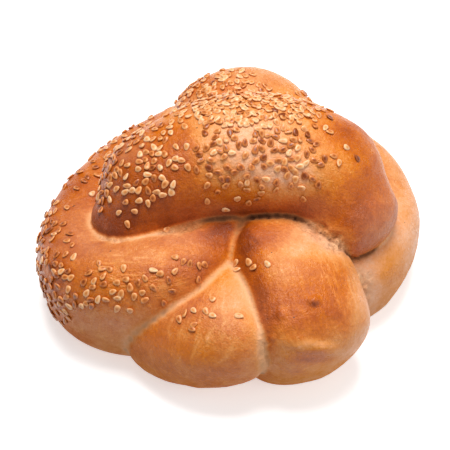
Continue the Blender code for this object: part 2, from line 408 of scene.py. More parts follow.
names = list(STRANDS)
measured = [measure(points, frames[name]) for name in names]
distance = np.stack([m[0] for m in measured])
own = np.argmin(distance, axis=0)
beside = np.where(np.arange(len(names))[:, None] == own, np.inf, distance)
beside[names.index("core")] = np.inf
other = np.argmin(beside, axis=0)
everyone = np.arange(len(points))
gap = distance[other, everyone] - distance[own, everyone]
along = np.stack([m[1] for m in measured])[own, everyone]
angle = np.stack([m[2] for m in measured])[own, everyone]
for index, name in enumerate(names):
    print(f"{name}: {100 * np.mean(own == index):.0f} % of the skin")

# %% [markdown]
# Some marks sit at one spot: a blister, a darker patch, the band where seeds were pressed on.
# They could be placed by their three coordinates, but it is easier to place them as the eye sees
# them, from in front and from 45 degrees above: how far across and up, and how large. The same
# can be done from behind, so that the far side is finished like the near one.

# %% What the eye sees, as millimetres across and up from the aim
AIM = np.array([0.0, 0.0, 30.0])
EYE_DISTANCE = 550.0
EYE_TILT = math.radians(45)
SOFT_EDGE = 0.6  # the share of a spot's size over which it fades, inwards and outwards
TURNED_AWAY = 0.15  # a spot also fades out where the skin turns away from the eye


def eye_axes(azimuth):
    """Unit vectors to the right, up and towards the eye, for an eye that stands at the azimuth."""
    turn = math.radians(azimuth)
    right = np.array([math.cos(turn), math.sin(turn), 0.0])
    level = np.array([math.sin(turn), -math.cos(turn), 0.0])
    towards = math.cos(EYE_TILT) * level + math.sin(EYE_TILT) * np.array([0.0, 0.0, 1.0])
    return right, np.cross(towards, right), towards


def seen(points, azimuth=0):
    """Perspective: the offsets along the eye's axes, times the aim's distance over the point's."""
    right, up, towards = eye_axes(azimuth)
    offset = points - AIM
    scale = EYE_DISTANCE / (EYE_DISTANCE - offset @ towards)
    return offset @ right * scale, offset @ up * scale


def smooth_step(low, high, value):
    """3t^2 - 2t^3 of the share t of the way from low to high."""
    t = np.clip((value - low) / (high - low), 0.0, 1.0)
    return t * t * (3.0 - 2.0 * t)


def spot(points, normals, place, azimuth=0, edge=SOFT_EDGE):
    """1 in the middle of an ellipse that the eye sees, falling softly to 0 over its edge.

    The place holds the ellipse's middle across and up, and its half sizes across and up.
    """
    middle_across, middle_up, half_across, half_up = place
    across, up = seen(points, azimuth)
    away = np.hypot((across - middle_across) / half_across, (up - middle_up) / half_up)
    facing = normals @ eye_axes(azimuth)[2]
    return (1.0 - smooth_step(1.0 - edge, 1.0 + edge, away)) * smooth_step(-TURNED_AWAY, TURNED_AWAY, facing)


write_points(skin.data, points)
normals = read_normals(skin.data)
across, up = seen(points)
span = np.round([across.min(), across.max(), up.min(), up.max()], 1)
print("seen from the front, the roll spans", span, "mm")

# %% [markdown]
# Dough is never even. A Displace modifier with a cloud texture could roughen it, but here the
# same unevenness also widens creases and shifts the browning, so it is an array. It is value
# noise: random numbers stand on a lattice and are blended smoothly between its corners, and a
# few such layers, each finer and weaker, add up.

# %% Noise over the skin
LATTICE = np.random.default_rng(11).uniform(-1.0, 1.0, (32, 32, 32))
LAYER_SHIFT = 7.3  # keeps one layer's lattice from lying on the next one's


def noise(points, size, layers=1, shift=0.0):
    """The sum of lattice noise at the size, half of it, a quarter and so on, each half as strong."""
    total = np.zeros(len(points))
    for layer in range(layers):
        at = points * (2**layer / size) + shift + LAYER_SHIFT * layer
        cell = np.floor(at).astype(int)
        t = at - cell
        t = t * t * (3.0 - 2.0 * t)
        for corner in itertools.product((0, 1), repeat=3):
            weight = np.prod(np.where(corner, t, 1.0 - t), axis=1)
            i, j, k = ((cell + corner) % len(LATTICE)).T
            total += weight * LATTICE[i, j, k] / 2**layer
    return total


print("noise of 10 mm spans", np.round([noise(points, 10).min(), noise(points, 10).max()], 2))

# %% [markdown]
# In a crease the dough stays pale, and each pair of turns meets in its own way: how wide the pale
# rim is on either turn, how deep the crease goes, and how much painted shade its bottom gets. Where
# two turns had stuck together, rising pulled them apart and left torn crumb, rough and full of small
# holes. Where the log overhangs another turn, painted shadow darkens the crease and hides the rim. A
# painted mask would do for all this, but a rule on the gap between two turns follows every bend of it.

# %% How the turns meet: pale rims, torn crumb and painted shade in the creases
CREASES = {  # pale on the first turn and on the second in mm, depth in mm, painted shade at the bottom
    ("log", "left"): (0.3, 1.6, 0.8, 0.25),
    ("log", "front_right"): (0.4, 2.8, 1.1, 1.0),
    ("log", "front_left"): (0.3, 2.0, 1.1, 1.0),
    ("log", "right"): (0.5, 0.7, 0.6, 0.2),
    ("log", "back"): (0.5, 0.8, 0.5, 0.2),
    ("front_right", "right"): (1.2, 5.5, 0.4, 0.05),
    ("front_right", "front_left"): (0.4, 1.7, 0.5, 0.45),
    ("left", "front_left"): (0.9, 0.8, 0.7, 0.28),
    ("left", "front_right"): (0.5, 0.15, 0.8, 0.35),
}
COMMON_CREASE = (0.9, 0.9, 0.5, 0.15)
CREASE_WIDTH, PAINTED_SHADE_WIDTH = 0.9, 0.4  # mm of gap
RIM_POWER = 1.4  # more gives the rim a sharper border
RIM_UNEVEN, RIM_UNEVEN_SIZE = 0.2, 6.0
TORN_UNEVEN, TORN_UNEVEN_SIZE = 0.35, 2.5
TORN_FADES = (0.5, 1.1)  # the shares of the rim's width between which torn crumb ends
CREASE_STARTS = (0.5, 4.0)  # mm above the tray, between which creases set in
TORN = {  # across, up and half sizes as the eye sees them, how much wider the rim is, how torn
    "log": [
        (32, -2.5, 9, 6, 9, 1), (40, -8, 5, 4, 2, 1), (-17, 0.8, 12, 2.5, 0.6, 1),
    ],
    "left": [
        (-37, -3.8, 6, 2, 0.4, 1), (-14.5, -0.4, 9, 2.6, 2, 1),
    ],
    "right": [
        (44, -17.5, 4.5, 10, 0.4, 0.5),
    ],
    "front_right": [
        (27, -2, 8, 4, 1.4, 1), (34.5, -7, 5, 4, 1.6, 1),
    ],
    "front_left": [
        (10.6, -39, 1.5, 8, 2.2, 0.35),
    ],
}
BLEND_ROUNDS, FILL_ROUNDS = 3, 12
FILLED = (0.2, 0.7)  # how torn the dough is, between which its crumb fills the crease
# how much of a rim the log's painted shadow hides, how it widens the crease's painted shade, how torn crumb
# lightens it
MOST_RIM_IN_SHADOW, LOG_SHADOW_WIDENS, TORN_LIGHTER = 0.8, 1.5, 0.4
PAINTED_LOG_SHADOW = [  # across, up and half sizes, and how strong the painted shadow of the log is there
    (-15, 1.5, 8, 2.5, 0.45), (-2.5, 2.2, 8, 3.5, 0.72), (14, 2.6, 10, 2.5, 0.65),
    (30, -1.5, 6, 3, 0.3), (4.5, -11, 1.5, 3, 0.5), (44, -9, 6, 4, 0.8),
]
# the places counted second carry the log's painted shadow
print(len(CREASES), "kinds of crease, and", len(PAINTED_LOG_SHADOW), "places where they are shut")

# %% How pale, torn, deep and painted with shade each point is


def crease_values(own, other):
    """For each point, the pale width on its own turn, the depth and the painted shade of its crease."""
    values = np.tile([COMMON_CREASE[0], *COMMON_CREASE[2:]], (len(own), 1))
    for (first, second), (on_first, on_second, depth, painted_crease_shade) in CREASES.items():
        a, b = names.index(first), names.index(second)
        values[(own == a) & (other == b)] = on_first, depth, painted_crease_shade
        values[(own == b) & (other == a)] = on_second, depth, painted_crease_shade
    return values.T


def torn_places(points, normals):
    """How torn the dough is at each point, 0 to 1, and how much wider its rim is for that."""
    torn = np.zeros(len(points))
    wider = np.zeros(len(points))
    for name, places in TORN.items():
        for *place, widening, share in places:
            here = spot(points, normals, place) * (own == names.index(name))
            torn = np.maximum(torn, share * here)
            wider += widening * here
    return torn, wider


torn_here, wider = torn_places(points, normals)
in_core = own == names.index("core")
pale_width, crease_depth, crease_painted_shade = crease_values(own, other)
uneven = 1.0 + RIM_UNEVEN * noise(points, RIM_UNEVEN_SIZE, layers=2)
uneven += TORN_UNEVEN * torn_here * noise(points, TORN_UNEVEN_SIZE, layers=2)
reach = gap / (pale_width * (1.0 + wider)) * uneven
rim = np.where(in_core, 1.0, np.exp(-np.abs(reach) ** RIM_POWER))
torn = torn_here * np.where(in_core, 1.0, 1.0 - smooth_step(*TORN_FADES, reach))
# painted shadow of the log: under its overhang it darkens the crease and hides the pale rim
painted_log_shadow = np.max([shadow_strength * spot(points, normals, place) for *place, shadow_strength in PAINTED_LOG_SHADOW], axis=0)
rim *= 1.0 - np.minimum(painted_log_shadow, MOST_RIM_IN_SHADOW)
# painted shade at the bottom of each crease: wider where the log's painted shadow lies, lighter on torn
# crumb
painted_shade_width = PAINTED_SHADE_WIDTH * (1.0 + LOG_SHADOW_WIDENS * painted_log_shadow)
painted_crease_shade = np.maximum(crease_painted_shade, painted_log_shadow) * np.exp(-((gap / painted_shade_width) ** 2)) * (1.0 - TORN_LIGHTER * torn_here)
carved = crease_depth * np.exp(-((gap / CREASE_WIDTH) ** 2)) * (1.0 - torn)
fields = np.stack([rim, torn, painted_crease_shade, carved], axis=1) * smooth_step(*CREASE_STARTS, points[:, 2:])
rim, torn, painted_crease_shade, carved = smoothed(fields, edges, 0.5, BLEND_ROUNDS).T
points = smoothed(points, edges, 0.5 * smooth_step(*FILLED, torn), FILL_ROUNDS)
print(f"{100 * rim.mean():.1f} % of the skin is pale, and {100 * torn.mean():.1f} % is torn crumb")

# %% [markdown]
# Relief comes next, along the skin's normals: slow swells from the baker's hands, a finer
# orange-peel, the creases, ragged crumb, a few blisters that gas raised, and one low fold on the
# lobe at the front right. It is moved into the mesh and not left to the material's bump, so the
# outline and the shadows have it too.

# %% Relief in the skin
SWELL, SWELL_SIZE = 0.5, 15.0
PEEL, PEEL_SIZE = 0.07, 2.4
CRUMB_RELIEF, CRUMB_SIZE, CRUMB_DEPTH = 0.9, 2.4, 0.8
RELIEF_STARTS = (0.2, 3.0)  # mm above the tray
ROUNDED = (0.1, 0.4)  # mm of depth, between which a crease is rounded off
RISES = [  # across, up and half sizes of the fold and the blisters, and their height in mm
    (21.5, -36.4, 4, 1.8, 0.4), (26.5, -38, 4.5, 1.9, 0.6), (31.5, -39, 3.5, 1.8, 0.7),
    (27.4, -23.2, 1.8, 1.4, 1), (17, -27.8, 1.4, 1.6, 0.55), (14.4, -35, 0.9, 0.9, 0.35),
    (33.5, -28, 1.4, 1, 0.25), (21, -31, 1, 1, 0.2), (-6, -36, 1.3, 1, 0.2),
]


def relief(points, normals):
    """Swells plus orange-peel plus crumb, less the creases, plus each rise, in millimetres."""
    height = SWELL * noise(points, SWELL_SIZE, layers=2)
    height += PEEL * noise(points, PEEL_SIZE, layers=2) * (1.0 - torn)
    height += torn * (CRUMB_RELIEF * noise(points, CRUMB_SIZE, layers=3) - CRUMB_DEPTH)
    height -= carved
    for *place, rise in RISES:
        height += rise * spot(points, normals, place)
    return height * smooth_step(*RELIEF_STARTS, points[:, 2])


write_points(skin.data, points)
height = relief(points, read_normals(skin.data))
points = points + height[:, None] * read_normals(skin.data)
points = smoothed(points, edges, 0.5 * smooth_step(*ROUNDED, carved), BLEND_ROUNDS)
points[:, 2] = np.maximum(points[:, 2], 0.0)
write_points(skin.data, points)
normals = read_normals(skin.data)
print("relief from", round(float(height.min()), 2), "to", round(float(height.max()), 2), "mm")

# %% [markdown]
# Browning is one number for each point, from 0, pale crust, to 1, dark reddish brown. It follows
# what the oven did: the sides near the tray are paler, and every turn has spots that differ. It
# also carries painted light: the log's front, where it turns down, is darkest, partly from browning
# and partly as painted shade, and some spots paint shade, shadows, highlights and sheen. Painting
# it by hand would work too, but named spots can be read and changed. The material turns the number
# into a colour.

# %% Where the crust is browner or paler
TURN_BROWNING = {
    "log": 0.62,
    "left": 0.64,
    "right": 0.36,
    "front_right": 0.60,
    "front_left": 0.60,
    "back": 0.48,
    "core": 0.3,
}
BROWNING_SPOTS = {  # across, up and half sizes, and how much browner it is there; some are painted shade or light, as named
    "log": {
        "left end": (-34, 8, 15, 16, 0.21), "painted shade at the low left end": (-36, 1, 9, 5, 0.16),
        "gap between the seeds": (-14, 19, 7, 10, 0.15), "seeded middle": (12, 23, 17, 10, -0.40),
        "seeded left of the middle": (-2, 22, 10, 9, -0.18),
        "low seeded middle": (21, 15, 11, 8, -0.30), "painted shade at the bottom": (12, 4.5, 11, 3, 0.12),
        "low middle": (-2, 6.5, 8, 4, -0.12), "right shoulder": (47, 18, 5, 10, 0.04),
        "seeded ridge": (7, 36, 22, 7, -0.28), "right end": (38, 5, 13, 9, 0.18),
        "burnt patch": (39, 30, 7, 5, 0.16), "low right end": (48, -6, 9, 7, -0.04),
    },
    "left": {
        "top": (-14, -9.5, 12, 4.5, -0.10), "inner end": (-2.5, -4, 6, 7, 0.20),
        "painted shade on the low inner side": (-11, -13, 12, 4, 0.22), "bottom": (-38, -29, 12, 5, -0.10),
        "beside the front lobe": (-34, -36, 7, 4, -0.20), "outer side": (-54, -8, 7, 11, 0.09),
        "upper outline": (-52, 14, 6, 8, 0.12), "painted shadow under the log": (-6, 0.5, 10, 3, 0.18),
        "beside the log": (-41, 4, 4, 8, 0.14),
    },
    "right": {
        # the right ring's middle is painted paler, partly as a highlight
        "top": (50, 16, 6, 9, 0.08), "middle": (53, 0, 8, 10, -0.22),
        "beside the lobe": (46, -17, 4, 9, -0.24), "low outer side": (53, -12, 6, 8, 0.08),
    },
    "front_right": {
        "painted shadow under the log": (9, -2, 8, 5, 0.24), "upper right edge": (28, -6, 9, 4, -0.22),
        "left end": (4.4, -6, 2.2, 8, 0.22), "upper left side": (8, -14, 3.6, 12, 0.22),
        "lower left side": (11.5, -30, 4, 12, 0.18), "low middle": (25, -35, 13, 7, -0.08),
        "top": (16, -12, 8, 6, -0.12), "right": (37, -22, 5, 6, 0.12), "middle": (24, -26, 13, 9, 0.14),
        # the fold: its top painted paler as a highlight, under it an orange patch ending in painted shade
        "painted highlight on the fold": (26.5, -37.2, 5, 1.7, -0.20), "under the fold": (27, -40.8, 6, 2.2, 0.26),
        "painted shade at the fold's lower edge": (26.6, -42.2, 4.5, 0.8, 0.14), "below the fold": (22, -44, 6, 2.5, 0.08),
        "painted shadow under the blister": (27.6, -24.4, 1.6, 1, 0.24), "small blister": (17, -27.8, 1.4, 1.6, 0.08),
        "painted sheen on the right rim": (43.5, -21, 4.5, 16, -0.30), "bottom": (33, -44, 17, 8, -0.20),
    },
    "front_left": {
        "upper left edge": (-12, -24.5, 8, 4, 0.12), "lower left edge": (-22, -33, 6, 5, 0.09),
        # the front left lobe's top is painted paler, partly as a highlight
        "top": (1, -22, 8, 6, -0.22), "right side": (8, -38, 3, 14, -0.06),
    },
    "back": {
        "right": (18, 44, 10, 6, -0.06), "seeded ridge": (8, 38, 22, 6, -0.12),
        "top left": (-5, 43, 8, 5, 0.08),
    },
}
# the log's front where it turns down is darker: partly browner crust, partly painted shade
LOG_FRONT_BROWNING_AND_SHADE = 0.27
FRONT_LOW, FRONT_FACING = (0.5, -0.2), (-0.1, 0.5)  # the normal's rise, and its turn to the front
FRONT_ENDS = (36.0, 54.0)  # mm across, between which the log's dark front fades out
LOW_PALER, LOW_SIDES = 0.04, (15.0, 1.0)  # and the mm above the tray for it
UNDERSIDE = -0.9  # the normal's rise, below which the skin is the underside
MOTTLE, MOTTLE_SIZE = 0.09, 7.0
SPOT_EDGE = 0.7
RIM_PALER = 0.8
print(sum(len(spots) for spots in BROWNING_SPOTS.values()), "spots differ from their turns")

# %% The browning of each point


def on_turns(spots, points, normals):
    """The sum over the spots of the point's own turn: each one's amount times its share there."""
    total = np.zeros(len(points))
    for name, places in spots.items():
        for *place, amount in places:
            total += amount * (own == names.index(name)) * spot(points, normals, place, edge=SPOT_EDGE)
    return total


def brown(points, normals):
    """(Turn + log's front, browner and painted shade, - low sides + spots + mottle) times one less the rim's
    part.
    """
    level = np.array([TURN_BROWNING[name] for name in names])[own]
    # partly browning and partly painted shade on the log's front where it faces down
    front = smooth_step(*FRONT_LOW, normals[:, 2]) * smooth_step(*FRONT_FACING, -normals[:, 1])
    fading = 1.0 - smooth_step(*FRONT_ENDS, points[:, 0])
    level += LOG_FRONT_BROWNING_AND_SHADE * (own == names.index("log")) * front * fading
    level -= LOW_PALER * smooth_step(*LOW_SIDES, points[:, 2]) * (normals[:, 2] > UNDERSIDE)
    level += on_turns({name: spots.values() for name, spots in BROWNING_SPOTS.items()}, points, normals)
    level += MOTTLE * noise(points, MOTTLE_SIZE, layers=3)
    return level * (1.0 - RIM_PALER * rim)


browning = np.clip(brown(points, normals), 0.0, 1.0)
print("browning from", round(float(browning.min()), 2), "to", round(float(browning.max()), 2))

# %% [markdown]
# Egg wash is brushed on by hand, so it lies thicker in some places. There the crust comes out
# deeper and more golden, and where it is thin, rosier. This is a second number for each point,
# from -1 to 1, which the material uses for how strong the colour is.

# %% Egg wash
WASH = {  # across, up and half sizes, and how much more egg wash lies there, or less below 0
    "log": [
        (-12, 20, 8, 6, -0.1), (-28, 10, 15, 8, 1), (3, 11, 8, 3, 0.5), (38, 17, 11, 10, 0.5),
        (47, 4, 6, 8, -0.7), (22, 6, 14, 4, -0.6), (-35, 26, 8, 5, -0.5), (-8, 4.5, 10, 4, -0.8),
    ],
    "left": [
        (-47, -1, 7, 8, -0.7), (-27, -7, 16, 5, -0.45), (-15, -2, 12, 3, -0.8), (-48, -24, 9, 5, 0.5),
        (-34, -34, 10, 4, -0.5), (-26, 37, 8, 6, -0.6), (-52, 18, 5, 6, 0.7), (1, -9, 5, 8, 0.9),
    ],
    "right": [
        (54, -12, 6, 7, 0.8), (51, 9, 4, 10, -0.8), (45, -19, 3, 8, -0.8),
    ],
    "front_right": [
        (26, -2, 13, 4, -1), (23, -12, 14, 5, -0.2), (25, -24, 6, 7, 0.4), (27, -46, 15, 6, 1),
        (27, -41, 6, 2.5, 0.8), (9, -29, 4, 9, -0.8), (6, -9, 4, 5, 1),
    ],
    "front_left": [
        (-15, -44, 13, 6, 0.7), (-3, -16, 6, 5, 0.6), (-1, -26, 6, 9, -0.8), (-16, -26, 7, 5, -0.5),
    ],
    "back": [
        (6, 47, 10, 4, -0.9), (-15, 39, 6, 6, -0.9),
    ],
}
WASH_MOTTLE, WASH_SIZE, WASH_SHIFT = 0.25, 9.0, 3.1
amount = WASH_MOTTLE * noise(points, WASH_SIZE, layers=3, shift=WASH_SHIFT) + on_turns(WASH, points, normals)
washed = np.clip(amount, -1.0, 1.0)
print(f"{100 * np.mean(washed > 0.5):.0f} % of the skin is thickly washed")

# %% [markdown]
# Risen dough that is pulled thin gets fine stretch wrinkles. They are too fine for the mesh, so
# the material makes them as bump, and paints them paler, partly as painted glints, in coordinates
# that follow the rope: along it and round it.
# Little wash runs into the creases and down to the tray, so there the skin is dull. The arrays
# are stored on the mesh as attributes, which the material can read by name.

# %% Attributes for the crust's material
WRINKLED = [  # across, up and half sizes, and how strongly it is wrinkled there
    (35, -17, 7, 13, 0.8), (-33, -14, 14, 6, 1), (-8, -32, 13, 10, 0.8), (12, -8, 8, 7, 0.4),
    (22, -25, 14, 14, 0.45), (-19, -17.5, 12, 5, 0.9),
]
DARK_DULL, LOW_DULL = 2.5, 0.8
LOW = (22.0, 6.0)  # mm above the tray, between which the sides grow dull
TURN_APART = 40.0  # mm between two turns in the rope's coordinates


def store(mesh, name, array, kind="FLOAT"):
    """Puts an array on the mesh's points, under a name."""
    layer = mesh.attributes.new(name, kind, "POINT")
    layer.data.foreach_set("vector" if kind == "FLOAT_VECTOR" else "value", array.astype(np.float32).ravel())


wrinkled = np.max([share * spot(points, normals, place) for *place, share in WRINKLED], axis=0)
wrinkled *= 1.0 - rim
girth = np.array([np.mean(frames[name]["up"]) for name in names])[own]
dull = np.max([rim, DARK_DULL * painted_crease_shade, LOW_DULL * smooth_step(*LOW, points[:, 2])], axis=0)
values = {"browning": browning, "washed": washed, "rim": rim, "torn": torn, "painted_crease_shade": painted_crease_shade}
for name, array in {**values, "dull": dull, "wrinkled": wrinkled}.items():
    store(skin.data, name, array)
rope = np.stack([along, angle * girth, TURN_APART * own], axis=1) * MM
store(skin.data, "rope", rope, "FLOAT_VECTOR")
skin.data.shade_smooth()
print("attributes:", [layer.name for layer in skin.data.attributes if not layer.is_internal])

# %% [markdown]
# Materials are graphs of nodes. They could be built by hand in the Shader Editor, but in code a
# few small helpers keep them readable: one adds a node and sets its sockets, and the others each
# make one kind of node, such as noise, a ramp of colours or a mix of two.

# %% Helpers for materials


def new_material(name):
    """A material, its node tree and its Principled BSDF."""
    material = bpy.data.materials.new(name)
    material.use_nodes = True
    return material, material.node_tree, material.node_tree.nodes["Principled BSDF"]


def is_output(value):
    """Whether the value comes from another node."""
    return isinstance(value, bpy.types.NodeSocket)


def fill(tree, node, inputs):
    """Links another node's output to each named socket, or sets a plain value on it."""
    for socket, value in inputs.items():
        if is_output(value):
            tree.links.new(value, node.inputs[socket])
        else:
            node.inputs[socket].default_value = value


def add(tree, kind, inputs=None, **settings):
    """A node with its settings and inputs."""
    node = tree.nodes.new(kind)
    for setting, value in settings.items():
        setattr(node, setting, value)
    fill(tree, node, inputs or {})
    return node


def attribute(tree, name, output="Fac"):
    """What was stored on the mesh under the name."""
    return add(tree, "ShaderNodeAttribute", attribute_name=name).outputs[output]


def grain(tree, where, scale, detail=2.0, roughness=0.5):
    """Noise at so many cells per metre of the coordinates."""
    settings = {"Vector": where, "Scale": scale, "Detail": detail, "Roughness": roughness}
    return add(tree, "ShaderNodeTexNoise", settings).outputs["Fac"]


def maths(tree, operation, first, second=0.0, third=0.0):
    """First plus, less or times second, or for MULTIPLY_ADD first times second plus third."""
    node = add(tree, "ShaderNodeMath", {0: first, 1: second, 2: third}, operation=operation)
    return node.outputs[0]


def between(tree, value, low, high, out_low=0.0, out_high=1.0):
    """The value mapped from low..high to the output range, and held there."""
    settings = {"Value": value, "From Min": low, "From Max": high, "To Min": out_low, "To Max": out_high}
    return add(tree, "ShaderNodeMapRange", settings).outputs["Result"]


def ramp(tree, value, stops):
    """A colour for each value, blended between the stops of (position, (red, green, blue))."""
    node = add(tree, "ShaderNodeValToRGB", {"Fac": value})
    elements = node.color_ramp.elements
    while len(elements) < len(stops):
        elements.new(0.5)
    for element, (position, colour) in zip(elements, stops):
        element.position = position
        element.color = (*colour, 1.0)
    return node.outputs["Color"]


def mix(tree, share, first, second):
    """The first colour times one less the share, plus the second times the share."""
    first, second = (colour if is_output(colour) else (*colour, 1.0) for colour in (first, second))
    return add(tree, "ShaderNodeMix", {"Factor": share, 6: first, 7: second}, data_type="RGBA").outputs[2]


def bump(tree, height, distance, strength, over=None):
    """The normal, tilted by the slope of the height times the distance in metres."""
    settings = {"Height": height, "Distance": distance, "Strength": strength}
    if over is not None:
        settings["Normal"] = over
    return add(tree, "ShaderNodeBump", settings).outputs["Normal"]


helpers = (fill, add, attribute, grain, maths, between, ramp, mix, bump)
print("helpers:", [helper.__name__ for helper in helpers])

# %% [markdown]
# A crust's colours nearly lie on one line: starch and sugar turn from cream through gold and
# orange to a reddish brown. One ramp holds that line, in the linear values that Blender uses,
# and thick egg wash makes its colours stronger. Noise of several sizes breaks them up, least
# where the crust is dark. In the creases the crumb shows: cream, and where it is torn, full of
# pits, with painted shade round and in them. Painted textures would need an image, and noise stays sharp at
# any distance.

# %% The colours of crust and crumb
CRUST_COLOURS = [
    (0.0, (0.97, 0.52, 0.30)),
    (0.2, (0.94, 0.41, 0.17)),
    (0.4, (0.84, 0.31, 0.068)),
    (0.6, (0.71, 0.185, 0.017)),
    (0.8, (0.52, 0.105, 0.007)),
    (1.0, (0.27, 0.045, 0.004)),
]
SATURATION = (0.93, 1.08)  # where the wash is thinnest, and where it is thickest
CRUMB_COLOUR = (0.95, 0.54, 0.28)
# round the holes the torn crumb is darker, partly painted shade; inside them it is painted deep shade
CRUMB_SHADE = (0.46, 0.22, 0.11)
PIT_SHADE_COLOUR = (0.10, 0.045, 0.025)
SPECK_COLOUR = (0.10, 0.03, 0.015)
BLOTCHY, SPECKLED, FLECKED = 0.30, 0.32, -0.16
CALM = (1.0, 0.3)  # how much of the speckle shows on light crust and on dark
# round a seed's foot the crust is browner, partly painted shadow; along stretch wrinkles paler, partly
# painted glints
FOOT_BROWNING_AND_SHADOW, STREAK_PALER_AND_GLINT = 0.2, -0.3


def crust_grains(tree):
    """Noise from blotches to fine grain: cells per metre, how many finer layers, and how rough."""
    where = add(tree, "ShaderNodeTexCoord").outputs["Object"]
    return {
        "blotch": grain(tree, where, 300.0, 3.0, 0.6),
        "medium": grain(tree, where, 900.0, 2.0, 0.6),
        "fine": grain(tree, where, 2200.0, 2.0, 0.7),
        "flecks": grain(tree, where, 1100.0, 1.0),
        "specks": grain(tree, where, 800.0, 0.0),
        "holes": grain(tree, where, 700.0, 3.0, 0.65),
    }


def around(tree, value, strength, level):
    """The level plus the strength times how far the value is from one half."""
    return maths(tree, "MULTIPLY_ADD", maths(tree, "SUBTRACT", value, 0.5), strength, level)


def crust_colour(tree, grains, streaks):
    """The ramp's colour for the browning, moved by the grains, by the seeds' feet, browner and partly
    painted shadow, and by the streaks, paler and partly painted glints.
    """
    level = around(tree, grains["blotch"], BLOTCHY, attribute(tree, "browning"))
    speckle = around(tree, grains["medium"], SPECKLED, around(tree, grains["fine"], SPECKLED, 0.0))
    speckle = maths(tree, "ADD", speckle, between(tree, grains["flecks"], 0.60, 0.74, 0.0, FLECKED))
    calm = between(tree, level, 0.6, 0.9, *CALM)
    level = maths(tree, "MULTIPLY_ADD", speckle, calm, level)
    # round each seed's foot the crust is browner, partly as painted shadow
    level = maths(tree, "MULTIPLY_ADD", attribute(tree, "seeded"), FOOT_BROWNING_AND_SHADOW, level)
    # paler along the stretch wrinkles, partly as painted glints
    level = maths(tree, "MULTIPLY_ADD", streaks, STREAK_PALER_AND_GLINT, level)
    strength = between(tree, attribute(tree, "washed"), -1.0, 1.0, *SATURATION)
    inputs = {"Color": ramp(tree, level, CRUST_COLOURS), "Saturation": strength}
    crust = add(tree, "ShaderNodeHueSaturation", inputs).outputs["Color"]
    return mix(tree, between(tree, grains["specks"], 0.115, 0.10), crust, SPECK_COLOUR)


def crumb_colour(tree, holes, torn_up):
    """Cream, and where the dough is torn, painted shade round the holes and deeper painted shade in them."""
    crumb = mix(tree, between(tree, holes, 0.62, 0.45), CRUMB_COLOUR, CRUMB_SHADE)
    crumb = mix(tree, between(tree, holes, 0.36, 0.31), crumb, PIT_SHADE_COLOUR)
    return mix(tree, torn_up, CRUMB_COLOUR, crumb)


print(len(CRUST_COLOURS), "colours from pale crust to dark")

# %% [markdown]
# Egg wash dries to a satin gloss, which dull creases and low sides lack: there the skin is
# rougher and reflects less. The bottom of a crease gets painted shade, brown and then nearly
# black. Bump adds what is finer than the mesh, layer over layer.

# %% The baked crust
# painted shade at the bottom of the creases: brown, then nearly black
PAINTED_SHADE_COLOUR = (0.36, 0.14, 0.055)
PAINTED_DEEP_SHADE_COLOUR = (0.08, 0.026, 0.011)
GLOSS = (0.27, 0.39)  # the roughness of washed skin, from blotch to blotch
DULL_ROUGHER = 0.35
SHINE = (0.45, 0.1)  # the specular level of washed skin and of dull skin
WRINKLE_CELLS = (170.0, 1100.0, 1.0)  # per metre along the rope and round it


def crust_material():
    """Crust, with crumb by the square of the rim, and painted shade at the bottom of the creases."""
    material, tree, shader = new_material("baked_crust")
    grains = crust_grains(tree)
    rim_here, torn_up, wrinkly, painted_shade_here, dull_here = (
        attribute(tree, name) for name in ("rim", "torn", "wrinkled", "painted_crease_shade", "dull")
    )
    rope_here = {"Vector": attribute(tree, "rope", "Vector"), "Scale": WRINKLE_CELLS}
    squeezed = add(tree, "ShaderNodeMapping", rope_here).outputs["Vector"]
    stretched = grain(tree, squeezed, 1.0, 3.0, 0.6)
    streaks = maths(tree, "MULTIPLY", between(tree, stretched, 0.5, 0.72), wrinkly)

    crumb_share = maths(tree, "MULTIPLY", rim_here, rim_here)
    crumb = crumb_colour(tree, grains["holes"], torn_up)
    colour = mix(tree, crumb_share, crust_colour(tree, grains, streaks), crumb)
    # painted shade at the bottom of the creases
    colour = mix(tree, between(tree, painted_shade_here, 0.1, 0.45), colour, PAINTED_SHADE_COLOUR)
    colour = mix(tree, between(tree, painted_shade_here, 0.3, 0.7), colour, PAINTED_DEEP_SHADE_COLOUR)

    gloss = between(tree, grains["blotch"], 0.35, 0.65, *GLOSS)
    wrinkles = maths(tree, "MULTIPLY", stretched, wrinkly)
    pits = maths(tree, "MULTIPLY", grains["holes"], torn_up)
    skin_bump = bump(tree, grains["medium"], 0.0005, 0.6)
    for heights, distance, strength in (
        (grains["fine"], 0.0004, 0.7),
        (wrinkles, 0.0005, 0.7),
        (pits, 0.0010, 0.9),
    ):
        skin_bump = bump(tree, heights, distance, strength, skin_bump)
    rough = maths(tree, "MULTIPLY_ADD", dull_here, DULL_ROUGHER, gloss)
    shine = between(tree, dull_here, 0.0, 1.0, *SHINE)
    fill(tree, shader, {"Base Color": colour, "Roughness": rough, "Normal": skin_bump})
    fill(tree, shader, {"Specular IOR Level": shine})
    return material


crust = crust_material()
skin.data.materials.clear()
skin.data.materials.append(crust)
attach(skin, "root")
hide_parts(NODE)
print(crust.name, "has", len(crust.node_tree.nodes), "nodes")

# %% [markdown]
# Sesame was pressed on before baking, thickest on the top and the left. Patches say where, as
# the eye sees them from the front and from behind, with how many seeds lie on a square
# centimetre and how darkly they are toasted. Scatter tools would sow them too, but must be made
# real meshes in the end. Here points of the skin are drawn at random, and a seed is laid on each
# that no earlier seed is too close to. The listed strays round the patches are placed first.

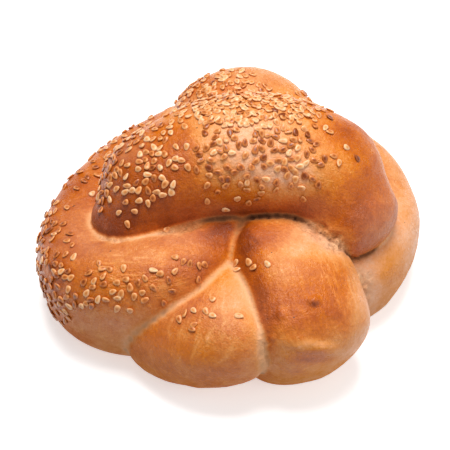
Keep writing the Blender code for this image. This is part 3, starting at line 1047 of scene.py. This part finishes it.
# %% Where the seeds lie
RANDOM = np.random.default_rng(7)
PATCHES = {  # middle across and up, half sizes, seeds per square cm, toasting, azimuth, turns
    "left of the log": ((-28.5, 22.5, 13.5, 13.0), 14.0, 0.38, 0, ["log"]),
    "left outline of the log": ((-40.0, 15.5, 4.5, 8.0), 16.0, 0.6, 0, ["log"]),
    "middle of the log": ((8.0, 27.0, 19.5, 15.0), 20.0, 0.5, 0, ["log"]),
    "ridge of the log": ((8.0, 37.0, 20.0, 6.0), 34.0, 0.26, 0, ["log", "back"]),
    "back lobe": ((-4.0, 45.0, 14.0, 5.5), 22.0, 0.36, 0, ["back", "left"]),
    "end of the back lobe": ((22.5, 40.0, 5.0, 3.5), 10.0, 0.4, 0, ["back"]),
    "upper outline of the left ring": ((-48.0, 20.0, 5.0, 9.0), 3.0, 0.5, 0, ["left"]),
    "outer side of the left ring": ((-56.0, -11.0, 7.0, 20.0), 9.0, 0.5, 0, ["left"]),
    "front of the left ring": ((-38.0, -19.0, 18.0, 7.0), 10.0, 0.45, 0, ["left"]),
    "inner end of the left ring": ((-15.0, -12.5, 12.0, 4.5), 5.0, 0.55, 0, ["left"]),
    "behind the log": ((2.0, 8.0, 32.0, 9.0), 8.0, 0.4, 180, ["log"]),
    "behind the back lobe": ((3.0, -20.0, 14.0, 12.0), 6.0, 0.4, 180, ["back", "left"]),
    "behind the left ring": ((36.0, -22.0, 15.0, 14.0), 5.0, 0.35, 180, ["left"]),
}
REJECTED = 1.4  # more points are drawn than the patches ask for, as some fall too close together
SPACING, DENSE_SPACING = 1.9, 1.2  # mm
DENSE = 21.0  # seeds per square cm, and above it they lie on one another
PATCH_EDGE = 0.35
TOASTING_SPREAD = 0.21
IN_SIGHT = 0.5  # mm from a stray's place, as the eye sees it
LOWEST = 3.0  # mm above the tray
FOOT = 1.25  # mm round a seed, in which the crust is browner: partly gathered wash, partly painted shadow
STRAYS = {  # across, up and toasting
    "front of the log": [
        (-35.2, 4.8, 0.2), (-30.1, 5.1, 0.3), (-38.1, 9.0, 0.1), (-33.0, 8.0, 0.5),
        (-28.8, 8.6, 0.2), (-24.3, 9.6, 0.6), (-18.2, 11.5, 0.1), (-6.7, 8.6, 0.4),
        (-0.6, 5.8, 0.1), (3.2, 9.3, 0.2), (24.0, 9.0, 0.5), (-6.7, 13.4, 0.5), (-3.5, 11.5, 0.6),
        (-0.6, 13.4, 0.5), (6.4, 12.2, 0.4), (10.9, 12.8, 0.5), (15.0, 12.2, 0.4),
        (19.8, 13.4, 0.5), (23.0, 13.1, 0.2), (26.9, 15.4, 0.6), (28.8, 13.8, 0.7),
    ],
    "right of the log": [
        (27.8, 34.9, 0.3), (31.0, 32.3, 0.1), (32.6, 31.0, 0.4), (32.6, 35.5, 1.0),
        (37.8, 26.2, 0.1), (33.6, 23.4, 0.5), (35.8, 20.8, 0.3), (27.8, 22.1, 0.6),
        (41.6, 22.4, 1.0), (15.0, 37.5, 1.2), (17.5, 36.2, 1.2),
    ],
    "middle of the knot": [
        (6.4, -10.6, 0.3), (8.0, -12.2, 0.4), (12.2, -11.2, 0.0), (2.2, -11.5, 0.3),
        (2.4, -13.4, 0.2),
    ],
    "front left lobe": [
        (-11.2, -26.2, 0.2), (-13.8, -26.9, 0.4), (-16.0, -29.1, 0.4), (-7.0, -26.2, 0.3),
        (-5.1, -27.8, 0.1), (-10.9, -30.7, 0.5), (-11.5, -32.3, 0.5), (-5.4, -22.7, 0.2),
        (3.5, -28.2, 0.2),
    ],
}
print(len(PATCHES), "patches, and", sum(len(places) for places in STRAYS.values()), "strays")

# %% Sowing the seeds


def in_sight(places):
    """For each place that the eye sees, the point nearest the eye of those that show there."""
    across, up = seen(points)
    _, _, towards = eye_axes(0)
    off = np.hypot(places[:, :1] - across, places[:, 1:2] - up)
    return np.argmin(np.where(off < IN_SIGHT, -points @ towards, np.inf), axis=1)


def sow(points, normals):
    """The chosen points of the skin, how toasted their seeds are, and how heaped."""
    strays = np.concatenate(list(STRAYS.values()))
    wanted = np.zeros(len(points))
    toasting = np.zeros(len(points))
    for place, thickness, toasted, azimuth, turns in PATCHES.values():
        here = thickness * spot(points, normals, place, azimuth=azimuth, edge=PATCH_EDGE)
        here *= np.isin(own, [names.index(turn) for turn in turns])
        toasting = np.where(here > wanted, toasted, toasting)
        wanted = np.maximum(wanted, here)
    wanted *= (points[:, 2] > LOWEST) & (rim < 0.5)
    chance = REJECTED * wanted * skin_area / 100.0 / len(points)
    candidates = RANDOM.permutation(np.flatnonzero(RANDOM.random(len(points)) < chance))
    chosen = in_sight(strays).tolist()
    spacing = np.where(wanted > DENSE, DENSE_SPACING, SPACING)
    for candidate in candidates:
        if np.linalg.norm(points[chosen] - points[candidate], axis=1).min() > spacing[candidate]:
            chosen.append(candidate)
    heaped = smooth_step(0.8 * DENSE, 1.2 * DENSE, wanted)[chosen]
    toasting[chosen] += RANDOM.normal(0.0, TOASTING_SPREAD, len(chosen))
    toasting[chosen[: len(strays)]] = strays[:, 2]
    return np.array(chosen), toasting[chosen], heaped


skin_area = sum(face.area for face in skin.data.polygons) / MM**2
chosen, toasting, heaped = sow(points, normals)
to_seed = np.full(len(points), np.inf)
for place in points[chosen]:
    to_seed = np.minimum(to_seed, np.linalg.norm(points - place, axis=1))
# how near a seed each point is, for browner crust and painted shadow round its foot
store(skin.data, "seeded", np.exp(-((to_seed / FOOT) ** 2)))
print(len(chosen), "seeds are sown on", round(skin_area / 100), "square centimetres of skin")

# %% [markdown]
# A sesame seed is a flat drop, rounder at one end, with a raised rim round a slightly hollow
# face. One seed is a small grid of a few dozen faces, and all of them are made at once by turning
# and shifting that grid with arrays, which is quicker than an object for each. Where they lie
# thickest they are heaped: higher, and more tipped. Each point carries its seed's toasting, and
# where on the seed it is.

# %% The seeds
SEED_LENGTH, SEED_WIDTH, SEED_THICKNESS = 2.65, 1.85, 0.95
SIZE_SPREAD = 0.07
SEED_SUNK = 0.2
SEED_ROWS, SEED_SIDES = 6, 8
TAPER = 0.33  # how much wider the round end is
HOLLOW = 0.35  # how deep the face is pressed in, as a share of half the thickness
SEED_TIP = 0.15
HEAPED, HEAPED_TIP = 0.3, 0.05


def seed_grid():
    """A drop: x = -cos(t)/2, width sin(t)^0.8 (1 + taper cos(t)), and the top pressed in lengthways."""
    t = np.linspace(0.0, math.pi, SEED_ROWS + 2)[1:-1, None]
    turn = np.linspace(0.0, 2 * math.pi, SEED_SIDES, endpoint=False)
    swell = np.sin(t) ** 0.8 * (1.0 + TAPER * np.cos(t))
    x = -np.cos(t) / 2 + 0.0 * turn
    y = swell * np.cos(turn) / 2
    z = swell * np.sin(turn) / 2
    z = np.where(z > 0, z * (1.0 - HOLLOW * np.sin(t) * np.cos(turn / 2 - math.pi / 4) ** 8), z)
    rows = np.stack([x, y, z], axis=-1).reshape(-1, 3)
    return np.concatenate([rows, [[-0.5, 0.0, 0.0], [0.5, 0.0, 0.0]]])


def lay_seeds(places, normals, toasting, heaped):
    """One mesh of all the seeds: each turned about its own normal, tipped a little and sunk in."""
    count = len(places)
    tip = SEED_TIP + HEAPED_TIP * heaped[:, None]
    tipped = normals + tip * RANDOM.normal(size=(count, 3))
    tipped /= np.linalg.norm(tipped, axis=1)[:, None]
    ahead = np.cross(tipped, RANDOM.normal(size=(count, 3)))
    ahead /= np.linalg.norm(ahead, axis=1)[:, None]
    beside = np.cross(tipped, ahead)
    size = RANDOM.normal(1.0, SIZE_SPREAD, (count, 3)) * [SEED_LENGTH, SEED_WIDTH, SEED_THICKNESS]
    shape = seed_grid()
    local = shape[None] * size[:, None]
    raised = HEAPED * heaped[:, None] * RANDOM.random((count, 1))
    middles = places + tipped * (size[:, 2:] / 2 - SEED_SUNK + raised)
    axes = np.stack([ahead, beside, tipped], axis=1)
    laid = middles[:, None] + np.einsum("nmk,nkc->nmc", local, axes)
    one = [[face[0], *face[:0:-1]] for face in grid_faces(SEED_ROWS, SEED_SIDES)]  # facing outwards
    faces = [[corner + number * len(shape) for corner in face] for number in range(count) for face in one]
    seeds = new_object("sesame_seeds", (laid.reshape(-1, 3) - MIDDLE) * MM, faces)
    store(seeds.data, "toasted", np.repeat(np.clip(toasting, 0.0, 1.0), len(shape)))
    store(seeds.data, "on_seed", np.tile(shape, (count, 1)), "FLOAT_VECTOR")
    seeds.data.shade_smooth()
    return seeds


seeds = lay_seeds(points[chosen], normals[chosen], toasting, heaped)
print("the seeds have", len(seeds.data.polygons), "faces")

# %% [markdown]
# Hulled sesame is cream and toasts to brown, each seed in its own way, so the colour follows the
# toasting on a ramp. On one seed the rim of the face is painted palest, as a highlight, and the
# hollow and the sides are painted browner, as shade. One colour for all would be quicker, but
# look like plastic.

# %% The colours of the seeds
SEED_COLOURS = [
    (0.0, (0.96, 0.57, 0.29)),
    (0.25, (0.88, 0.40, 0.14)),
    (0.5, (0.73, 0.24, 0.055)),
    (0.75, (0.49, 0.125, 0.022)),
    (1.0, (0.25, 0.052, 0.011)),
]
SEED_ROUGHNESS = 0.32


def seed_material():
    """The rim of the face is palest, a painted highlight; its hollow and its sides are browner, painted
    shade.
    """
    material, tree, shader = new_material("sesame_seed")
    toasted = attribute(tree, "toasted")
    place = attribute(tree, "on_seed", "Vector")
    where = add(tree, "ShaderNodeTexCoord").outputs["Object"]
    flat = add(tree, "ShaderNodeVectorMath", {0: place, 1: (1.0, 1.0, 0.0)}, operation="MULTIPLY")
    away = add(tree, "ShaderNodeVectorMath", {0: flat.outputs[0]}, operation="LENGTH").outputs["Value"]
    height = add(tree, "ShaderNodeSeparateXYZ", {"Vector": place}).outputs["Z"]
    # painted highlight on the rim of the face, painted shade in the hollow and down the sides
    level = maths(tree, "ADD", toasted, between(tree, away, 0.10, 0.38, 0.28, -0.14))
    level = maths(tree, "ADD", level, between(tree, height, 0.10, -0.25, 0.0, 0.35))
    level = maths(tree, "ADD", level, between(tree, grain(tree, where, 900.0), 0.3, 0.7, -0.1, 0.1))
    uneven = bump(tree, grain(tree, where, 2600.0), 0.00008, 0.6)
    colour = ramp(tree, level, SEED_COLOURS)
    fill(tree, shader, {"Base Color": colour, "Roughness": SEED_ROUGHNESS, "Normal": uneven})
    return material


seeds.data.materials.append(seed_material())
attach(seeds, "root")
print(len(SEED_COLOURS), "colours from cream to burnt")

# %% [markdown]
# The roll is shown on a plain pale floor in soft studio light: a lamp overhead and a little
# behind, so that the front of each turn is in soft shade, a weaker one from the front right, and
# an even pale surround. An image of a studio could light it too, but lamps are easier to move.
# The floor glows, so it stays as pale as the surround, and it isn't seen by the roll's diffuse
# light, or its bounce would bleach the low sides. The surround isn't seen by the gloss, so only
# the lamps and the floor shine in it.

# %% Floor and light
FLOOR_REACH = 3.0  # metres
FLOOR_GLOW = 0.5
KEY = {"place": (0.0, 0.16, 1.0), "size": 0.45, "watts": 9.3}
FILL = {"place": (0.9, -0.5, 0.6), "size": 0.6, "watts": 2.8}
SURROUND = 0.38


def lamp(name, place, size, watts):
    """A square area lamp that points at the roll."""
    light = bpy.data.lights.new(name, "AREA")
    light.size = size
    light.energy = watts
    thing = bpy.data.objects.new(name, light)
    thing.location = place
    thing.rotation_euler = Vector(place).to_track_quat("Z", "Y").to_euler()
    bpy.context.scene.collection.objects.link(thing)


square = np.array([(-1, -1, 0), (1, -1, 0), (1, 1, 0), (-1, 1, 0)]) * FLOOR_REACH
floor = new_object("floor", square, [(0, 1, 2, 3)])
pale, pale_tree, pale_shader = new_material("pale_floor")
WHITE, PALE = (1.0, 1.0, 1.0, 1.0), (0.9, 0.9, 0.9, 1.0)
fill(pale_tree, pale_shader, {"Base Color": PALE, "Roughness": 0.9})
fill(pale_tree, pale_shader, {"Emission Color": WHITE, "Emission Strength": FLOOR_GLOW})
floor.data.materials.append(pale)
floor.visible_diffuse = False
lamp("key", **KEY)
lamp("fill", **FILL)
world = bpy.data.worlds.new("studio")
world.use_nodes = True
fill(world.node_tree, world.node_tree.nodes["Background"], {"Color": WHITE, "Strength": SURROUND})
world.cycles_visibility.glossy = False
bpy.context.scene.world = world
bpy.context.scene.view_settings.view_transform = "Standard"

# %% [markdown]
# The camera stands where the eye stood, 45 degrees above the front. Its focal length follows
# from how wide the picture is: 450 pixels of 0.32 mm at the roll's distance. A longer lens from
# farther away would show the roll as wide, but flatter.

# %% Camera
PIXELS_ACROSS, PIXEL = 450, 0.32
PICTURE_WIDTH = PIXELS_ACROSS * PIXEL
AIM_IN_PICTURE = np.array([-0.96, 0.96])  # the picture's middle, across and up from the aim

right, upright, towards = eye_axes(0)
camera_data = bpy.data.cameras.new("camera")
camera_data.sensor_width = 36.0
camera_data.lens = camera_data.sensor_width * EYE_DISTANCE / PICTURE_WIDTH
camera = bpy.data.objects.new("camera", camera_data)
aim = AIM + right * AIM_IN_PICTURE[0] + upright * AIM_IN_PICTURE[1] - MIDDLE
camera.location = (aim + towards * EYE_DISTANCE) * MM
camera.rotation_euler = Vector(towards).to_track_quat("Z", "Y").to_euler()
bpy.context.scene.collection.objects.link(camera)
bpy.context.scene.camera = camera
print("the lens is", round(camera_data.lens, 1), "mm")
